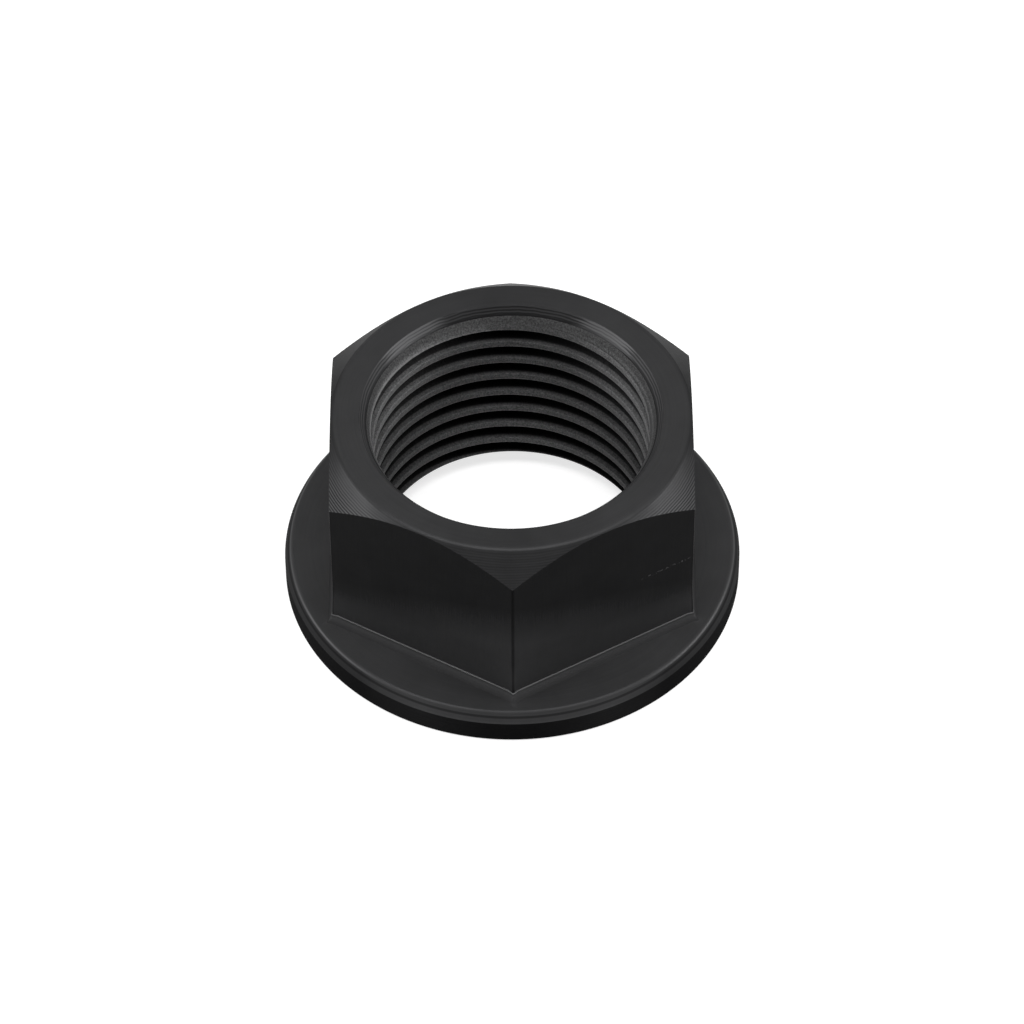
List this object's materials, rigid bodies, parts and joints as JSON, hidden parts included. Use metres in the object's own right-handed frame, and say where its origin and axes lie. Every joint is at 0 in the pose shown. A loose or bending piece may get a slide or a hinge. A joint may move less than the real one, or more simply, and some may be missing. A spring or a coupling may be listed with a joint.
{
  "type": "flanged hexagon nut",
  "caption": "Black anodised aluminium hexagon nut with a wide round bearing flange, turned corner chamfer and a fine right-hand thread.",
  "frame": {"origin": "centre of the bearing face, on the thread's axis", "axes": "+Z along the thread, from the bearing face up to the top face; +X square to one flat; the picture looks along +Y and down"},
  "size_m": [0.0388, 0.0388, 0.019],
  "materials": {
    "anodised_alloy": "black anodised, satin, with turning marks"
  },
  "bodies": {
    "root": {"flange_nut": "anodised_alloy"}
  },
  "joints": []
}
